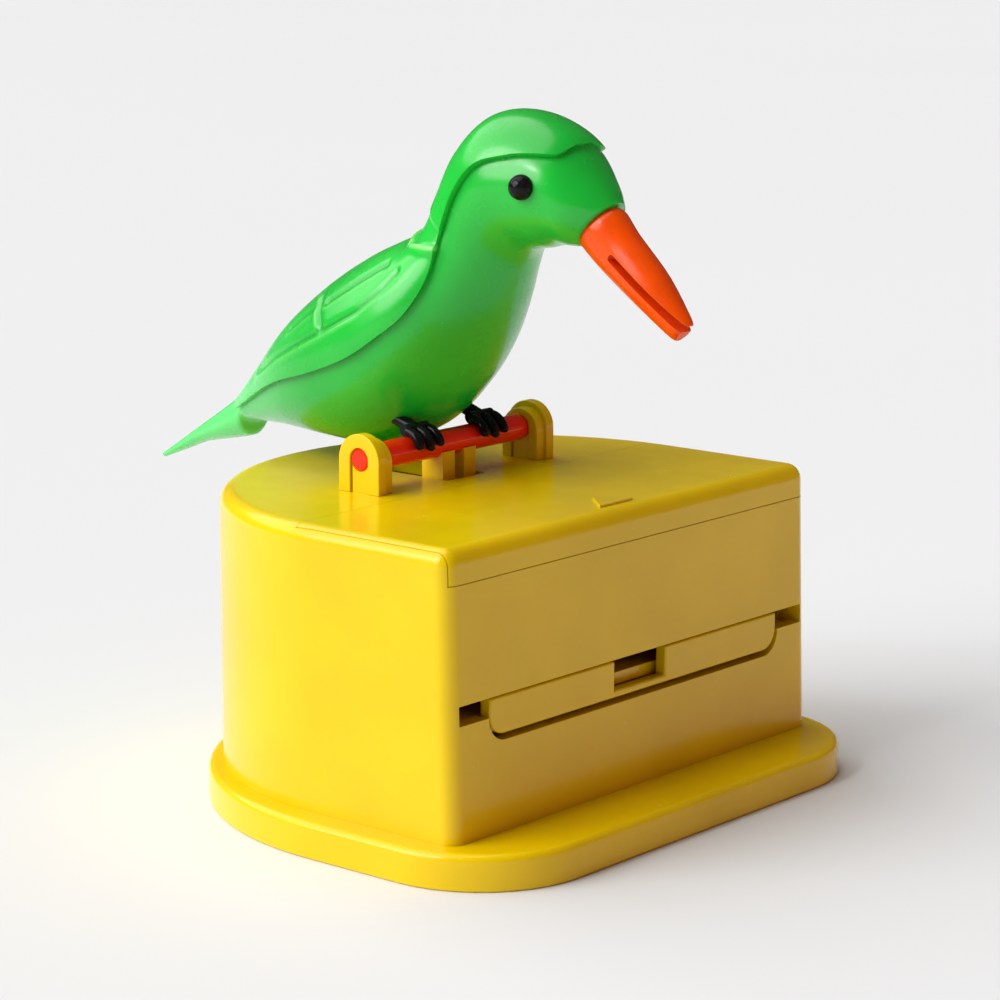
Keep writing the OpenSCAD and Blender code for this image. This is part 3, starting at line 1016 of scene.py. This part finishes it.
class DISPENSER_OT_feet(BuildOperator, bpy.types.Operator):
    """Builds the feet: three toes over the front of the rod, a hind toe and a shank"""

    bl_idname = "dispenser.feet"
    bl_label = "Feet"

    def toe(self, bm, x, start, sweep, radius, reach):
        """A round toe bent about the rod, from an angle above the rear."""
        ring = bmesh.ops.create_circle(bm, segments=14, radius=radius, cap_ends=True)["verts"]
        spot = Vector((x, 0, reach))
        turn = Matrix.Rotation(radians(90), 4, "X")
        place = Matrix.Translation(ROD) @ Matrix.Rotation(start, 4, "X")
        place = place @ Matrix.Translation(spot) @ turn
        bmesh.ops.transform(bm, matrix=place, verts=ring)
        faces = list({f for v in ring for f in v.link_faces})
        geom = faces + list({e for f in faces for e in f.edges}) + ring
        made = bmesh.ops.spin(
            bm, geom=geom, cent=ROD, axis=X_AXIS, angle=sweep, steps=ceil(abs(sweep) / 0.12)
        )["geom_last"]
        tip = [v for v in made if isinstance(v, bmesh.types.BMVert)]
        middle = sum((v.co for v in tip), Vector()) / len(tip)
        for v in tip:
            v.co = middle + (v.co - middle) * 0.5

    def execute(self, context):
        _, bird, _ = settings()
        r = bird.toe_radius
        for side, word in ((-1, "left"), (1, "right")):
            bm = bmesh.new()
            for x, sweep in ((4.4, 1.35), (6.3, 1.5), (8.2, 1.35)):
                self.toe(bm, side * x * MM, 0.1, sweep, r, 2.45 * MM)
            self.toe(bm, side * 6.3 * MM, 0.1, -1.1, r, 2.45 * MM)
            palm = ROD + Vector((side * 4.2, 0.2, 2.5)) * MM
            drum_in(bm, palm, palm + X_AXIS * side * 4.2 * MM, 0.75 * MM, 20)
            low = ROD + Vector((side * 6.3, 0.2, 2.4)) * MM
            drum_in(bm, low, low + Vector((0, 3.9, 1.4)) * MM, 0.9 * MM, 24)
            bmesh.ops.recalc_face_normals(bm, faces=bm.faces)
            piece = settle(bm, "foot_moulding_" + word, "black", 60)
            adopt(piece, "bird", "black_plastic", "foot_" + word)
        return {"FINISHED"}


class DISPENSER_OT_inside(BuildOperator, bpy.types.Operator):
    """Gives the pieces that keep their frame shape their finishes"""

    bl_idname = "dispenser.inside"
    bl_label = "Inner pieces"

    def execute(self, context):
        for node, finish in (
            ("rod_keeper_left", "yellow"),
            ("rod_keeper_right", "yellow"),
            ("spring_guide", "yellow"),
            ("pusher", "red"),
            ("hopper_tray", "yellow"),
            ("gate_pins", "steel"),
            ("return_spring", "steel"),
            ("case_screws", "steel"),
        ):
            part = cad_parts[node]
            part.data.materials.clear()
            part.data.materials.append(finish_of(finish))
        return {"FINISHED"}


class DISPENSER_OT_stage(BuildOperator, bpy.types.Operator):
    """Sets the pale floor, the soft lights and the camera"""

    bl_idname = "dispenser.stage"
    bl_label = "Stage"

    def lamp(self, name, source, power, spread, tint=(1, 1, 1)):
        """A wide soft light that comes from one direction."""
        data = bpy.data.lights.new(name, "SUN")
        data.energy = power
        data.angle = radians(spread)
        data.color = tint
        lamp = bpy.data.objects.new(name, data)
        lamp.rotation_euler = Vector(source).to_track_quat("Z", "Y").to_euler()
        bpy.context.scene.collection.objects.link(lamp)

    def execute(self, context):
        _, _, look = settings()
        scene = bpy.context.scene
        bm = bmesh.new()
        bmesh.ops.create_grid(bm, x_segments=1, y_segments=1, size=3.0)
        floor = plain(bm, "floor")
        pale = Finish("pale_floor")
        tint = tuple(look.floor)
        pale.fix(Base_Color=pale.mix(pale.noise(4.0), tint, shaded(tint, 0.98)), Roughness=0.9)
        floor.data.materials.append(pale.material)
        world = bpy.data.worlds.new("studio")
        world.use_nodes = True
        sky = world.node_tree.nodes["Background"].inputs
        sky["Color"].default_value = (1, 1, 1, 1)
        sky["Strength"].default_value = 0.08
        scene.world = world
        scene.view_settings.view_transform = "Standard"
        self.lamp("key", (-0.80, 0.37, 0.50), 2.3, 45)
        self.lamp("glint", (-0.80, 0.10, 0.62), 0.2, 4)
        self.lamp("top", (-0.25, 0.60, 1.00), 2.5, 80)
        self.lamp("fill", (0.40, -1.00, 0.10), 0.5, 60, (1, 0.25, 0.0))
        data = bpy.data.cameras.new("camera")
        data.lens = 117.8
        data.sensor_width = 36
        camera = bpy.data.objects.new("camera", data)
        azimuth, elevation, roll = radians(-49.96), radians(11.48), radians(0.1)
        level = Vector((sin(azimuth), -cos(azimuth), 0))
        back = level * cos(elevation) + Z_AXIS * sin(elevation)
        right = Vector((cos(azimuth), sin(azimuth), 0))
        up = back.cross(right)
        right, up = right * cos(roll) + up * sin(roll), up * cos(roll) - right * sin(roll)
        camera.matrix_world = Matrix((right, up, back)).transposed().to_4x4()
        camera.location = (-0.3108, -0.2630, 0.1196)
        scene.collection.objects.link(camera)
        scene.camera = camera
        return {"FINISHED"}


STEPS = (
    DISPENSER_OT_base,
    DISPENSER_OT_case,
    DISPENSER_OT_lid,
    DISPENSER_OT_gate,
    DISPENSER_OT_perch,
    DISPENSER_OT_crank,
    DISPENSER_OT_body,
    DISPENSER_OT_cape,
    DISPENSER_OT_tail,
    DISPENSER_OT_beak,
    DISPENSER_OT_eyes,
    DISPENSER_OT_feet,
    DISPENSER_OT_inside,
    DISPENSER_OT_stage,
)


class DISPENSER_PT_steps(bpy.types.Panel):
    """Lists the building steps and the settings."""

    bl_idname = "DISPENSER_PT_steps"
    bl_label = "Dispenser"
    bl_space_type = "VIEW_3D"
    bl_region_type = "UI"
    bl_category = "Dispenser"

    def draw(self, context):
        layout = self.layout
        for step in STEPS:
            layout.operator(step.bl_idname)
        for group in settings():
            for key in group.__annotations__:
                layout.prop(group, key)


CLASSES = (BoxSettings, BirdSettings, LookSettings, *STEPS, DISPENSER_PT_steps)


def register():
    for item in CLASSES:
        bpy.utils.register_class(item)
    bpy.types.Scene.dispenser_box = bpy.props.PointerProperty(type=BoxSettings)
    bpy.types.Scene.dispenser_bird = bpy.props.PointerProperty(type=BirdSettings)
    bpy.types.Scene.dispenser_look = bpy.props.PointerProperty(type=LookSettings)


def unregister():
    for name in ("dispenser_box", "dispenser_bird", "dispenser_look"):
        delattr(bpy.types.Scene, name)
    for item in reversed(CLASSES):
        bpy.utils.unregister_class(item)


def main():
    """Builds every piece in order."""
    register()
    for step in STEPS:
        group, name = step.bl_idname.split(".")
        getattr(getattr(bpy.ops, group), name)()


if __name__ == "__main__":
    main()
